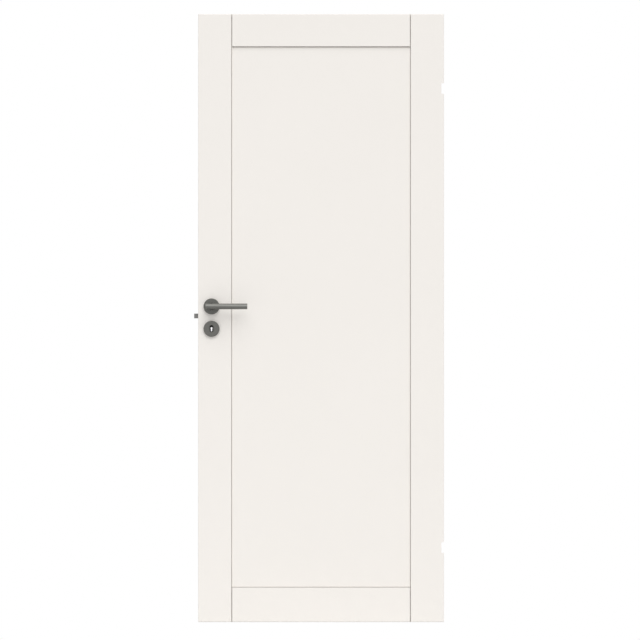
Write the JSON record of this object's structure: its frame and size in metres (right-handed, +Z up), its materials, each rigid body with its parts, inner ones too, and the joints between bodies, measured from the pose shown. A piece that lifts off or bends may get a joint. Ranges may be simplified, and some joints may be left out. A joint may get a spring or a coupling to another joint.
{
  "type": "interior door leaf",
  "caption": "White painted interior door leaf with a recessed flat panel, mortise latch lock, straight round lever handles on roses and notches for hinges.",
  "frame": {"origin": "on the hinge edge's face, in the middle of the leaf's thickness, level with the leaf's lower end", "axes": "+X out of the hinge edge, away from the lock edge; +Y from the front face to the back face; +Z up"},
  "size_m": [0.8383, 0.1552, 2.04],
  "materials": {
    "painted_wood": "smooth satin off-white paint",
    "dark_brushed_metal": "dark brushed nickel",
    "lock_steel": "plain brushed steel",
    "bush_plastic": "moulded dark grey"
  },
  "bodies": {
    "leaf": {"lock_stile": "painted_wood", "hinge_stile": "painted_wood", "top_rail": "painted_wood", "bottom_rail": "painted_wood", "panel": "painted_wood", "lock_faceplate": "lock_steel", "lock_case": "lock_steel", "lock_case_cover": "lock_steel", "dead_bolt": "lock_steel", "front_rose": "dark_brushed_metal", "back_rose": "dark_brushed_metal", "front_neck_bush": "bush_plastic", "back_neck_bush": "bush_plastic", "front_key_rose": "dark_brushed_metal", "back_key_rose": "dark_brushed_metal"},
    "lever": {"follower": "lock_steel", "spindle": "lock_steel", "front_lever_bar": "dark_brushed_metal", "front_lever_neck": "dark_brushed_metal", "back_lever_bar": "dark_brushed_metal", "back_lever_neck": "dark_brushed_metal"},
    "latch": {"latch_bolt": "lock_steel", "latch_carriage": "lock_steel"}
  },
  "joints": [
    {"name": "lever_turn", "type": "hinge", "parent": "leaf", "child": "lever", "pos_m": [-0.78, 0, 1.059], "axis": [0, 1, 0], "range_deg": [0, 45], "stiffness_Nm_per_rad": 1, "springref_deg": -34.38},
    {"name": "latch_slide", "type": "slide", "parent": "leaf", "child": "latch", "axis": [1, 0, 0], "range_m": [0, 0.013]}
  ],
  "couplings": [
    {"joint": "latch_slide", "follows": "lever_turn", "m_per_rad": 0.01655}
  ]
}
